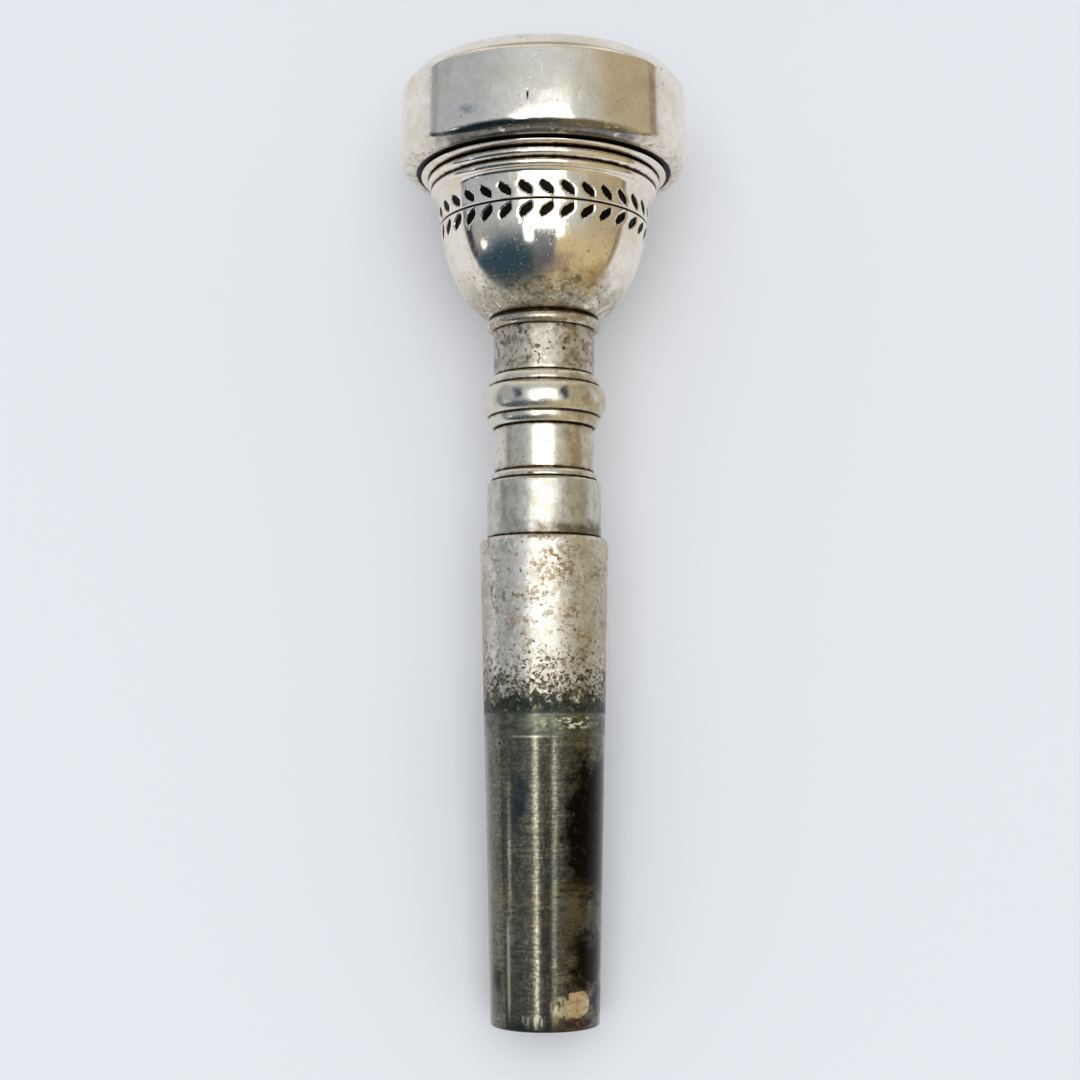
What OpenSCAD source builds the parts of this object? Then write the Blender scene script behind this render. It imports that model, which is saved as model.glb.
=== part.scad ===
// Take-apart trumpet mouthpiece of turned brass: a screw rim, a cup and a shank.
// The air passage runs along +Y, with the player's rim towards +Y.
// The origin is the centre of the small end of the shank, which goes into the instrument.
// Every piece is a body of revolution, drawn as an outline of [radius, distance from the end].

/* [Shank] */
// Radius of the tapered shank at its small end
end_r = 4.88; // [4.6:0.01:5.0]
// Radius of the tapered shank at its large end
taper_top_r = 5.87; // [5.7:0.01:6.0]
// Length of the tapered shank
taper_len = 43.4; // [42:0.1:45]
// Rounding of the taper's upper edge
taper_edge = 0.5; // [0.2:0.05:0.8]
// Radius of the cylindrical collar above the taper
collar_r = 5.23; // [5.1:0.01:5.4]
// Radius of the waist between the collar and the bead
waist_r = 4.58; // [4.5:0.01:4.7]
// Radius of the neck between the bead and the cup
neck_r = 4.65; // [4.5:0.01:4.7]
// Largest radius of the bead
bead_r = 5.75; // [5.5:0.01:5.9]
// Radius of the two small rings beside the bead
ring_r = 5.15; // [5.05:0.01:5.25]
// Distance from the small end to the joint under the cup
neck_joint = 62.8; // [62.6:0.1:63.2]

/* [Backbore] */
// Radius of the backbore at the small end
backbore_end_r = 4.2; // [4.0:0.01:4.3]
// Radius of the narrow throat
throat_r = 1.83; // [1.7:0.01:1.95]

/* [Cup] */
// Largest radius of the cup's outside, under its rings
cup_r = 9.85; // [9.7:0.01:10.0]
// Radius of the neck ring at the foot of the cup
foot_ring_r = 5.27; // [5.2:0.01:5.35]
// Radius of the lower of the two beads round the top of the cup
low_bead_r = 10.55; // [10.45:0.01:10.65]
// Radius of the upper of the two beads
high_bead_r = 10.82; // [10.7:0.01:10.95]
// Radius of the fine ridge just under the rim
ridge_r = 11.46; // [11.3:0.01:11.6]
// Radius of the bowl at its mouth
bowl_r = 8.0; // [7.8:0.01:8.2]
// Depth of the bowl's round wall
bowl_depth = 9.0; // [8.5:0.1:9.5]

/* [Rim] */
// Outside radius of the rim
rim_r = 13.42; // [13.2:0.01:13.6]
// Distance from the small end to the joint under the rim
rim_joint = 77.8; // [77.6:0.1:78.0]
// Overall length, from the small end to the highest line of the rim
overall_len = 87.3; // [87.0:0.1:87.6]
// Radius of the rim's highest line
rim_peak_r = 10.3; // [10.0:0.1:10.6]

/* [Threads] */
// Crest radius of the thread on the shank's tenon
tenon_r = 3.75; // [3.6:0.01:3.8]
// Length of the tenon
tenon_len = 7; // [6:0.1:7]
// Crest radius of the thread on the cup's spigot
spigot_r = 10.45; // [10.2:0.01:10.5]
// Length of the spigot
spigot_len = 6.2; // [5.8:0.1:6.3]
// Radial clearance between the crests of a mating pair of threads
crest_gap = 0.05; // [0.02:0.01:0.08]
// Free length at the bottom of each threaded socket
socket_gap = 0.2; // [0.1:0.05:0.3]

/* [Hidden] */
$fn = 96;
ARC_STEPS = 10;
groove = 0.15;         // width of a turned parting groove
groove_depth = 0.14;   // how far a groove goes below the outline beside it
chamfer = 0.12;        // small broken edge
relief = 0.5;          // length and depth of the undercut at the root of a thread

socket_r = tenon_r + crest_gap;
tenon_top = neck_joint + tenon_len;
socket_top = tenon_top + socket_gap;
rim_socket_r = spigot_r + crest_gap;
spigot_top = rim_joint + spigot_len;
rim_socket_top = spigot_top + 0.05;
bowl_centre = spigot_top + 0.35;
throat_shoulder_r = 2.35;
throat_top = 74.6;

// Distances from the small end to the turned details of the neck
thin_ring_low = 48.7;
waist_low = 49.5;
low_ring_low = 53.7;
bead_low = 54.75;
bead_high = 57.45;
high_ring_high = 58.45;

// Distances from the small end to the turned details of the cup
cup_foot = 63.95;
cup_curve_top = 75;
low_bead_mid = 75.88;
high_bead_mid = 76.8;
ridge_mid = 77.53;

// Points of an arc with centre [r, y] and half-axes [a, b], from angle a0 to angle a1
function arc(r, y, a, b, a0, a1, steps = ARC_STEPS) =
    [for (i = [0:steps]) let (t = a0 + (a1 - a0) * i / steps) [r + a * cos(t), y + b * sin(t)]];

// Two points of a groove with its floor at the given radius
function cut(r, y) = [[r, y], [r, y + groove]];

// Backbore radius at a distance from the small end: it opens quickly past the throat, then slowly
function backbore(y) =
    let (t = 1 - y / tenon_top)
    throat_r + (backbore_end_r - throat_r) * pow(t, backbore_power);
backbore_power = 0.62;

// The cup's outer curve is part of an ellipse, centred beside the bore level with its top
cup_curve_r = 3.2;     // distance of the ellipse's centre from the axis
cup_curve_a = cup_r - cup_curve_r;
cup_curve_b = 11.4;    // half-length of the ellipse along the bore
cup_foot_angle = -asin((cup_curve_top - cup_foot) / cup_curve_b);

module turned(colour) {
    color(colour)
        rotate([-90, 0, 0])
            rotate_extrude()
                children();
}

module shank() {
    bead_mid = (bead_low + bead_high) / 2;
    bead_half = (bead_high - bead_low) / 2;
    thin_ring_r = 0.32;                // how far the thin ring stands up from the waist
    thin_ring_len = 0.62;              // length of its rounded side
    low_ring_root = waist_r + 0.15;    // where the rounding of the ring under the bead starts
    low_ring_len = 0.9;
    high_ring_root = neck_r + 0.1;     // where the rounding of the ring over the bead ends
    high_ring_len = 0.85;
    turned("silver")
        polygon(concat(
            [[backbore_end_r, 0], [end_r - chamfer, 0], [end_r, chamfer]],
            arc(taper_top_r - taper_edge, taper_len - taper_edge, taper_edge, taper_edge, 0, 90),
            cut(collar_r - groove_depth, taper_len),
            [[collar_r, taper_len + groove], [collar_r, thin_ring_low - 2 * chamfer]],
            [[collar_r - 2 * chamfer, thin_ring_low]],
            cut(waist_r + groove_depth, thin_ring_low),
            arc(waist_r, thin_ring_low + groove, thin_ring_r, thin_ring_len, 0, 90),
            cut(waist_r - groove_depth, waist_low),
            [[waist_r, waist_low + groove], [waist_r, low_ring_low - groove]],
            cut(waist_r - groove_depth, low_ring_low - groove),
            arc(low_ring_root, bead_low - groove, ring_r - low_ring_root, low_ring_len, -90, 0),
            cut(ring_r - groove_depth, bead_low - groove),
            arc(ring_r, bead_mid, bead_r - ring_r, bead_half, -90, 90),
            cut(ring_r - groove_depth, bead_high),
            arc(high_ring_root, bead_high + groove, ring_r - high_ring_root, high_ring_len, 0, 90),
            cut(neck_r - groove_depth, high_ring_high),
            [[neck_r, high_ring_high + groove], [neck_r, neck_joint - chamfer]],
            [[neck_r - chamfer, neck_joint], [tenon_r - relief, neck_joint]],
            [[tenon_r - relief, neck_joint + relief], [tenon_r, neck_joint + 2 * relief]],
            [[tenon_r, tenon_top - relief], [tenon_r - relief, tenon_top]],
            [for (i = [0:20]) let (y = tenon_top * (1 - i / 20)) [backbore(y), y]]));
}

module cup() {
    cove = 0.48;             // hollow moulding between the bowl's outside and the beads
    foot_round = 0.3;        // how far the neck ring swells
    foot_half = 0.45;        // half-length of the swelling
    foot_r = foot_ring_r - foot_round;
    bead_round = 0.35;       // how far the two beads swell
    low_bead_half = 0.4;
    high_bead_half = 0.42;
    ridge_round = 0.1;       // how far the fine ridge swells
    ridge_half = 0.11;
    under_rim_r = ridge_r - 0.35;
    shoulder_half = 0.8;     // half-length of the rounded shoulder where the bowl meets the throat
    turned("silver")
        polygon(concat(
            [[socket_r, neck_joint], [foot_r, neck_joint]],
            arc(foot_r, neck_joint + 0.5, foot_round, foot_half, -80, 80),
            cut(foot_r, cup_foot - groove),
            arc(cup_curve_r, cup_curve_top, cup_curve_a, cup_curve_b, cup_foot_angle, 0, 24),
            arc(cup_r + cove, cup_curve_top, cove, cove, 180, 90),
            arc(low_bead_r - bead_round, low_bead_mid, bead_round, low_bead_half, -55, 60),
            arc(high_bead_r - bead_round, high_bead_mid, bead_round, high_bead_half, -70, 70),
            arc(ridge_r - ridge_round, ridge_mid, ridge_round, ridge_half, -75, 75, 5),
            [[under_rim_r, rim_joint]],
            [[spigot_r - relief, rim_joint], [spigot_r - relief, rim_joint + relief]],
            [[spigot_r, rim_joint + 2 * relief], [spigot_r, spigot_top - relief]],
            [[spigot_r - relief, spigot_top]],
            arc(0, bowl_centre, bowl_r, bowl_depth,
                -asin((bowl_centre - spigot_top) / bowl_depth), -acos(throat_shoulder_r / bowl_r), 24),
            arc(throat_shoulder_r, throat_top, throat_shoulder_r - throat_r, shoulder_half, 100, 180, 6),
            [[throat_r, socket_top], [socket_r, socket_top]]));
}

module rim() {
    under_edge = 1.3;   // rounding of the lower outside edge
    upper_edge = 1.5;   // rounding of the upper outside edge
    bite_r = 8.1;       // radius of the inner edge that the player feels
    bite_y = overall_len - 1.9;
    slope_r = rim_r - upper_edge;
    slope_y = overall_len - 2.2;
    face_top = slope_y - 0.4;    // top of the straight outside face
    turned("silver")
        polygon(concat(
            [[rim_socket_r, rim_joint], [rim_r - under_edge, rim_joint]],
            arc(rim_r - under_edge, rim_joint + under_edge, under_edge, under_edge, -90, 0),
            arc(slope_r, face_top, upper_edge, upper_edge, 0, 50),
            arc(rim_peak_r, slope_y, slope_r - rim_peak_r + 1, overall_len - slope_y, 42, 90),
            arc(rim_peak_r, bite_y, rim_peak_r - bite_r, overall_len - bite_y, 90, 180),
            [[bowl_r, rim_socket_top], [rim_socket_r, rim_socket_top]]));
}

shank();
cup();
rim();
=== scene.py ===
"""A take-apart trumpet mouthpiece of silver-plated brass, lying on a pale sheet.

Three turned pieces, the screw rim, the cup and the shank, are lathed by one Geometry Nodes tree
from outlines in millimetres, and finished with layers of polish, tarnish, wear and dirt, and with
painted reflections and shade in a few places.
"""

import math

import bpy
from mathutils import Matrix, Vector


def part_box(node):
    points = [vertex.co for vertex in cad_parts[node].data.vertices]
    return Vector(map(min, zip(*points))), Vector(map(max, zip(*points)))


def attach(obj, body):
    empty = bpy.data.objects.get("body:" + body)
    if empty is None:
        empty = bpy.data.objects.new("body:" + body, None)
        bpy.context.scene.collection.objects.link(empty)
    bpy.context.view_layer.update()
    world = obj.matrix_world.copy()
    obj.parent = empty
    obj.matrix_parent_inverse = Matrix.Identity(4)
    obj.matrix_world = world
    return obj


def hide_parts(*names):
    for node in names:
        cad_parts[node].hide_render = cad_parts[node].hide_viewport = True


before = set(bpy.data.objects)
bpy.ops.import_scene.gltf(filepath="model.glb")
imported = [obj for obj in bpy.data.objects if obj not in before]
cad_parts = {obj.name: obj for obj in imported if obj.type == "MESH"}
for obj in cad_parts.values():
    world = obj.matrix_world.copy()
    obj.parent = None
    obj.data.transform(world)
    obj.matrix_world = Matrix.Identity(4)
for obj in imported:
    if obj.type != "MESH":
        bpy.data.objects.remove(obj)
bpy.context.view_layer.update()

MM = 0.001

# ---------------------------------------------------------------- sizes from the frame, in mm


def far_corner(node):
    """Largest radius and farthest distance along the bore that a CAD node reaches, in mm."""
    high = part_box(node)[1]
    return round(high.x / MM, 2), round(high.y / MM, 2)


TAPER_TOP_R, TENON_TOP = far_corner("shank")
RIDGE_R, SPIGOT_TOP = far_corner("cup")
RIM_R, OVERALL = far_corner("rim")
NECK_JOINT = round(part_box("cup")[0].y / MM, 2)
RIM_JOINT = round(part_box("rim")[0].y / MM, 2)

# Radii of the turned details, as in the part's source
END_R, TAPER_LEN, TAPER_EDGE = 4.88, 43.4, 0.5
COLLAR_R, WAIST_R, NECK_R, BEAD_R, RING_R = 5.23, 4.58, 4.65, 5.75, 5.15
BACKBORE_END_R, THROAT_R, THROAT_SHOULDER_R, THROAT_TOP = 4.2, 1.83, 2.35, 74.6
CUP_R, FOOT_RING_R, LOW_BEAD_R, HIGH_BEAD_R = 9.85, 5.27, 10.55, 10.82
BOWL_R, BOWL_DEPTH, BOWL_CENTRE = 8.0, 9.0, SPIGOT_TOP + 0.35
RIM_PEAK_R, RIM_BITE_R = 10.3, 8.1
TENON_R, SPIGOT_R, CREST_GAP, SOCKET_GAP = 3.75, 10.45, 0.05, 0.2

# Distances from the small end to the turned details
THIN_RING_LOW, WAIST_LOW, LOW_RING_LOW = 48.7, 49.5, 53.7
BEAD_LOW, BEAD_HIGH, HIGH_RING_HIGH = 54.75, 57.45, 58.45
CUP_FOOT, CUP_CURVE_TOP, LOW_BEAD_MID, HIGH_BEAD_MID, RIDGE_MID = 63.95, 75.0, 75.88, 76.8, 77.53

GROOVE = 0.15
GROOVE_DEPTH = 0.14
CHAMFER = 0.12
RELIEF = 0.5
THREAD_PITCH = 25.4 / 32
THREAD_DEPTH = 0.38
SOFT_EDGE = 0.07  # how far a turned corner is rounded by handling
BARREL = 0.18  # how much the rim's outside face falls in towards its upper edge
WATERLINE = 27.6  # how far the shank goes into the instrument
BAND_LINE, BAND_REACH, BAND_PAIRS = 72.75, 1.65, 32  # the engraved band of leaves

# Longest step between outline points on each kind of surface
STEP = {"skin": 0.15, "thread": THREAD_PITCH / 6, "bore": 1.5, "straight": 1.1}
STRAIGHT_WITHIN = 0.003  # how far a point may be off a line and still be left out
EVEN_WITHIN = 0.03  # how far its hollowness may be off its neighbours' and still be left out

# Smaller turned details: how far a round swells out or how wide an edge is rounded, half its
# length along the bore (HALF), and the radius that it rises from (ROOT)
BACKBORE_POWER = 0.62
THIN_RING_ROUND, THIN_RING_HALF = 0.32, 0.62
LOW_RING_ROOT, LOW_RING_HALF = WAIST_R + 0.15, 0.9
HIGH_RING_ROOT, HIGH_RING_HALF = NECK_R + 0.1, 0.85
COVE, CURVE_R, CURVE_HALF = 0.48, 3.2, 11.4
FOOT_ROUND, FOOT_HALF, BEAD_ROUND, RIDGE_ROUND = 0.3, 0.45, 0.35, 0.1
UNDER_EDGE, UPPER_EDGE = 1.3, 1.5

# ---------------------------------------------------------------- outlines [radius, along]


def arc(r, y, a, b, start, stop, steps=12):
    """Points of an arc with centre (r, y) and half-axes a and b."""
    turns = [math.radians(start + (stop - start) * i / steps) for i in range(steps + 1)]
    return [(r + a * math.cos(t), y + b * math.sin(t)) for t in turns]


def cut(r, y):
    """The floor of a parting groove."""
    return [(r, y), (r, y + GROOVE)]


def backbore(y):
    """Radius of the backbore, which opens quickly past the throat and then slowly."""
    return THROAT_R + (BACKBORE_END_R - THROAT_R) * (1 - y / TENON_TOP) ** BACKBORE_POWER


def thread_outline(r, low, high):
    """An outside thread, with an undercut at its root and a sloped end."""
    root = r - RELIEF
    return [(root, low), (root, low + RELIEF), (r, low + 2 * RELIEF), (r, high - RELIEF), (root, high)]


def shank_outline():
    """Skin, tenon thread and bore of the shank."""
    bead_mid = (BEAD_LOW + BEAD_HIGH) / 2
    bead_half = (BEAD_HIGH - BEAD_LOW) / 2
    end_face = [(BACKBORE_END_R, 0), (END_R - CHAMFER, 0)]
    skin = [
        (END_R - CHAMFER, 0),
        (END_R, CHAMFER),
        *arc(TAPER_TOP_R - TAPER_EDGE, TAPER_LEN - TAPER_EDGE, TAPER_EDGE, TAPER_EDGE, 0, 90),
        *cut(COLLAR_R - GROOVE_DEPTH, TAPER_LEN),
        (COLLAR_R, TAPER_LEN + GROOVE),
        (COLLAR_R, THIN_RING_LOW - 2 * CHAMFER),
        (COLLAR_R - 2 * CHAMFER, THIN_RING_LOW),
        *cut(WAIST_R + GROOVE_DEPTH, THIN_RING_LOW),
        *arc(WAIST_R, THIN_RING_LOW + GROOVE, THIN_RING_ROUND, THIN_RING_HALF, 0, 90),
        *cut(WAIST_R - GROOVE_DEPTH, WAIST_LOW),
        (WAIST_R, WAIST_LOW + GROOVE),
        (WAIST_R, LOW_RING_LOW - GROOVE),
        *cut(WAIST_R - GROOVE_DEPTH, LOW_RING_LOW - GROOVE),
        *arc(LOW_RING_ROOT, BEAD_LOW - GROOVE, RING_R - LOW_RING_ROOT, LOW_RING_HALF, -90, 0),
        *cut(RING_R - GROOVE_DEPTH, BEAD_LOW - GROOVE),
        *arc(RING_R, bead_mid, BEAD_R - RING_R, bead_half, -90, 90, 20),
        *cut(RING_R - GROOVE_DEPTH, BEAD_HIGH),
        *arc(HIGH_RING_ROOT, BEAD_HIGH + GROOVE, RING_R - HIGH_RING_ROOT, HIGH_RING_HALF, 0, 90),
        *cut(NECK_R - GROOVE_DEPTH, HIGH_RING_HIGH),
        (NECK_R, HIGH_RING_HIGH + GROOVE),
        (NECK_R, NECK_JOINT - CHAMFER),
        (NECK_R - CHAMFER, NECK_JOINT),
    ]
    thread = thread_outline(TENON_R, NECK_JOINT, TENON_TOP)
    bore = [(backbore(y), y) for y in [TENON_TOP * (1 - i / 24) for i in range(24)]]
    return [("face", end_face), ("skin", skin), ("thread", thread), ("bore", bore)]


def cup_outline():
    """Skin, spigot thread, bowl and socket of the cup."""
    foot_angle = -math.degrees(math.asin((CUP_CURVE_TOP - CUP_FOOT) / CURVE_HALF))
    ring_r = FOOT_RING_R - FOOT_ROUND
    skin = [
        (ring_r, NECK_JOINT),
        *arc(ring_r, NECK_JOINT + 0.5, FOOT_ROUND, FOOT_HALF, -80, 80),
        *cut(ring_r, CUP_FOOT - GROOVE),
        *arc(CURVE_R, CUP_CURVE_TOP, CUP_R - CURVE_R, CURVE_HALF, foot_angle, 0, 100),
        *arc(CUP_R + COVE, CUP_CURVE_TOP, COVE, COVE, 180, 90, 6),
        *arc(LOW_BEAD_R - BEAD_ROUND, LOW_BEAD_MID, BEAD_ROUND, 0.4, -55, 60, 8),
        *arc(HIGH_BEAD_R - BEAD_ROUND, HIGH_BEAD_MID, BEAD_ROUND, 0.42, -70, 70, 8),
        *arc(RIDGE_R - RIDGE_ROUND, RIDGE_MID, RIDGE_ROUND, 0.11, -75, 75, 5),
        (RIDGE_R - BEAD_ROUND, RIM_JOINT),
    ]
    thread = thread_outline(SPIGOT_R, RIM_JOINT, SPIGOT_TOP)
    mouth = -math.degrees(math.asin((BOWL_CENTRE - SPIGOT_TOP) / BOWL_DEPTH))
    foot = -math.degrees(math.acos(THROAT_SHOULDER_R / BOWL_R))
    socket_top = TENON_TOP + SOCKET_GAP
    bore = [
        *arc(0, BOWL_CENTRE, BOWL_R, BOWL_DEPTH, mouth, foot, 24),
        *arc(THROAT_SHOULDER_R, THROAT_TOP, THROAT_SHOULDER_R - THROAT_R, 0.8, 100, 180, 6),
        (THROAT_R, socket_top),
    ]
    socket = [(TENON_R + CREST_GAP, socket_top), (TENON_R + CREST_GAP, NECK_JOINT + 0.1)]
    return [("skin", skin), ("thread", thread), ("bore", bore), ("socket", socket)]


def rim_outline():
    """Skin and socket of the rim."""
    slope_r, slope_y = RIM_R - UPPER_EDGE, OVERALL - 2.2
    bite_y = OVERALL - 1.9
    face_low, face_high = RIM_JOINT + UNDER_EDGE, slope_y - 0.4
    skin = [
        (SPIGOT_R + CREST_GAP, RIM_JOINT),
        *arc(RIM_R - UNDER_EDGE, face_low, UNDER_EDGE, UNDER_EDGE, -90, 0, 16),
        *[(RIM_R - BARREL * max(0.0, i / 20 - 0.35) ** 2, face_low + (face_high - face_low) * i / 20)
          for i in range(1, 20)],
        *arc(slope_r, face_high, UPPER_EDGE, UPPER_EDGE, 18, 50, 12),
        *arc(RIM_PEAK_R, slope_y, slope_r - RIM_PEAK_R + 1, OVERALL - slope_y, 42, 90, 12),
    ]
    lip = [
        *arc(RIM_PEAK_R, bite_y, RIM_PEAK_R - RIM_BITE_R, OVERALL - bite_y, 90, 180, 20),
        (BOWL_R, SPIGOT_TOP + 0.05),
    ]
    socket = [
        (SPIGOT_R + CREST_GAP, SPIGOT_TOP + 0.05),
        (SPIGOT_R + CREST_GAP, RIM_JOINT + 0.1),
    ]
    return [("skin", skin), ("face", lip), ("socket", socket)]


def softened(points, reach):
    """The points with every sharp corner between them turned into a small curve."""
    points = [p for i, p in enumerate(points) if i == 0 or math.dist(p, points[i - 1]) > 1e-4]
    made = [points[0]]
    for before, corner, after in zip(points, points[1:], points[2:]):
        to_before = (before[0] - corner[0], before[1] - corner[1])
        to_after = (after[0] - corner[0], after[1] - corner[1])
        len_before, len_after = math.hypot(*to_before), math.hypot(*to_after)
        cosine = (to_before[0] * to_after[0] + to_before[1] * to_after[1]) / (len_before * len_after)
        if cosine < -0.9:
            made.append(corner)
            continue
        back = min(reach, 0.4 * len_before) / len_before
        on = min(reach, 0.4 * len_after) / len_after
        for t in (0, 0.33, 0.67, 1):
            a, b = back * (1 - t) ** 2, on * t**2
            made.append(
                (corner[0] + a * to_before[0] + b * to_after[0],
                 corner[1] + a * to_before[1] + b * to_after[1])
            )
    return [*made, points[-1]]


def stepped(points, longest):
    """The points with more between them, so that no step is longer than the given length."""
    made = []
    for (r0, y0), (r1, y1) in zip(points, points[1:]):
        count = max(1, math.ceil(math.hypot(r1 - r0, y1 - y0) / longest))
        made += [(r0 + (r1 - r0) * i / count, y0 + (y1 - y0) * i / count) for i in range(count)]
    return [*made, points[-1]]


def thinned(rows):
    """The rows without those that stand on a nearly straight run of open metal."""
    made = [rows[0]]
    for row, after in zip(rows[1:], rows[2:]):
        r0, y0, hollow0 = made[-1][:3]
        (r1, y1, hollow1), (r2, y2, hollow2) = row[:3], after[:3]
        run = math.hypot(r2 - r0, y2 - y0)
        off_line = abs((r1 - r0) * (y2 - y0) - (r2 - r0) * (y1 - y0)) / max(run, 1e-6)
        uneven = abs(hollow1 - (hollow0 + hollow2) / 2)
        in_band = abs(y1 - BAND_LINE) < BAND_REACH + 0.1
        bent = off_line > STRAIGHT_WITHIN or uneven > EVEN_WITHIN
        if bent or in_band or run > STEP["straight"]:
            made.append(row)
    return [*made, rows[-1]]


def hollowness(points):
    """How deep each point lies between its neighbours, from 0 on open metal to 1 in a groove."""
    reach, full_depth, blur = 0.75, 0.3, 0.16
    raw = []
    for r, y in points:
        below = max([q for q, x in points if y - reach <= x <= y])
        above = max([q for q, x in points if y <= x <= y + reach])
        raw.append(min(1.0, (min(below, above) - r) / full_depth))
    made = []
    for r, y in points:
        near = [
            (h, math.exp(-(((r - q) ** 2 + (y - x) ** 2) / blur**2)))
            for h, (q, x) in zip(raw, points)
        ]
        made.append(sum(h * w for h, w in near) / sum(w for h, w in near))
    return made


def tagged(sections):
    """Rows of radius, along, hollow, thread and inside for the whole closed outline."""
    rows = []
    for kind, points in sections:
        if kind == "skin":
            points = stepped(softened(points, SOFT_EDGE), STEP["skin"])
            made = [(r, y, h, 0.0, 0.0) for (r, y), h in zip(points, hollowness(points))]
            rows += thinned(made)
            continue
        if kind == "face":
            rows += [(r, y, 0.0, 0.0, 0.0) for r, y in stepped(points, STEP["skin"])]
            continue
        if kind == "bore":
            rows += [(r, y, 0.0, 0.0, 1.0) for r, y in stepped(points, STEP["bore"])]
            continue
        crest = max(r for r, y in points)
        ends = [y for r, y in points if r == crest]
        side = 1.0 if kind == "thread" else -1.0
        for r, y in stepped(points, STEP["thread"]):
            room = min(y - min(ends), max(ends) - y) / THREAD_PITCH
            rows.append((r, y, 0.0, side * min(1.0, max(0.0, room)), 1.0))
    return rows


# ---------------------------------------------------------------- placing nodes


class Wiring:
    """Short calls that place and join the nodes of one tree."""

    def __init__(self, tree):
        self.tree = tree

    def node(self, kind, inputs=None, **settings):
        """A node with its settings, and its inputs given as numbers, colours or links."""
        made = self.tree.nodes.new(kind)
        for key, value in settings.items():
            setattr(made, key, value)
        for key, value in (inputs or {}).items():
            self.feed(made.inputs[key], value)
        return made

    def feed(self, socket, value):
        """Links a socket, or sets its value."""
        if isinstance(value, bpy.types.NodeSocket):
            self.tree.links.new(value, socket)
        else:
            socket.default_value = value

    def calc(self, operation, *values, clamp=False):
        """One step of arithmetic."""
        made = self.node("ShaderNodeMath", operation=operation, use_clamp=clamp)
        for socket, value in zip(made.inputs, values):
            self.feed(socket, value)
        return made.outputs[0]

    def rise(self, value, low, high):
        """0 below low, 1 above high, and a smooth rise between."""
        ends = {"Value": value, "From Min": low, "From Max": high}
        return self.node("ShaderNodeMapRange", ends, interpolation_type="SMOOTHSTEP").outputs[0]

    def number_mix(self, mask, under, over):
        """A number that turns into another where the mask is 1."""
        made = self.node("ShaderNodeMix", {0: mask, 2: under, 3: over}, data_type="FLOAT")
        return made.outputs[0]

    def colour_mix(self, mask, under, over):
        """A colour that turns into another where the mask is 1."""
        made = self.node("ShaderNodeMix", {0: mask, 6: under, 7: over}, data_type="RGBA")
        return made.outputs[2]

    def use(self, tree, **inputs):
        """Places a group of this name and gives its inputs; underscores stand for spaces."""
        kind = self.tree.bl_idname.replace("Tree", "Group")
        made = self.node(kind, node_tree=tree)
        for key, value in inputs.items():
            self.feed(made.inputs[key.replace("_", " ")], value)
        return made.outputs


def new_group(name, kind, inputs, outputs):
    """A node group with named sockets; returns its wiring, its inputs and its output node."""
    tree = bpy.data.node_groups.new(name, kind)
    for in_out, sockets in (("INPUT", inputs), ("OUTPUT", outputs)):
        for label, socket_type in sockets.items():
            tree.interface.new_socket(label, in_out=in_out, socket_type="NodeSocket" + socket_type)
    wire = Wiring(tree)
    return wire, wire.node("NodeGroupInput").outputs, wire.node("NodeGroupOutput").inputs


# ---------------------------------------------------------------- geometry trees


def leaf_band_tree():
    """How deep the engraver cut at a place round the cup: a stem with pairs of leaves."""
    wire, given, result = new_group(
        "laurel_band",
        "GeometryNodeTree",
        {"Turn": "Float", "Along": "Float", "Leaf Pairs": "Int", "Line": "Float", "Reach": "Float"},
        {"Cut": "Float"},
    )
    off_line = wire.calc("DIVIDE", wire.calc("SUBTRACT", given["Along"], given["Line"]), given["Reach"])
    height = wire.calc("ABSOLUTE", off_line)
    slant = wire.calc("MULTIPLY", height, 0.6)
    place = wire.calc("MULTIPLY_ADD", given["Turn"], given["Leaf Pairs"], slant)
    across = wire.calc("SUBTRACT", wire.calc("FRACT", place), 0.5)
    along_leaf = wire.calc("DIVIDE", wire.calc("SUBTRACT", height, 0.58), 0.44)
    lens = wire.calc("SUBTRACT", 1.0, wire.calc("MULTIPLY", along_leaf, along_leaf))
    leaf = wire.calc("SUBTRACT", wire.calc("MULTIPLY", lens, 0.3), wire.calc("ABSOLUTE", across))
    stem = wire.calc("SUBTRACT", 0.08, height)
    deepest = wire.calc("MAXIMUM", wire.calc("MULTIPLY", leaf, 1.4), stem)
    wire.feed(result["Cut"], wire.rise(deepest, -0.02, 0.08))
    return wire.tree


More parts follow.
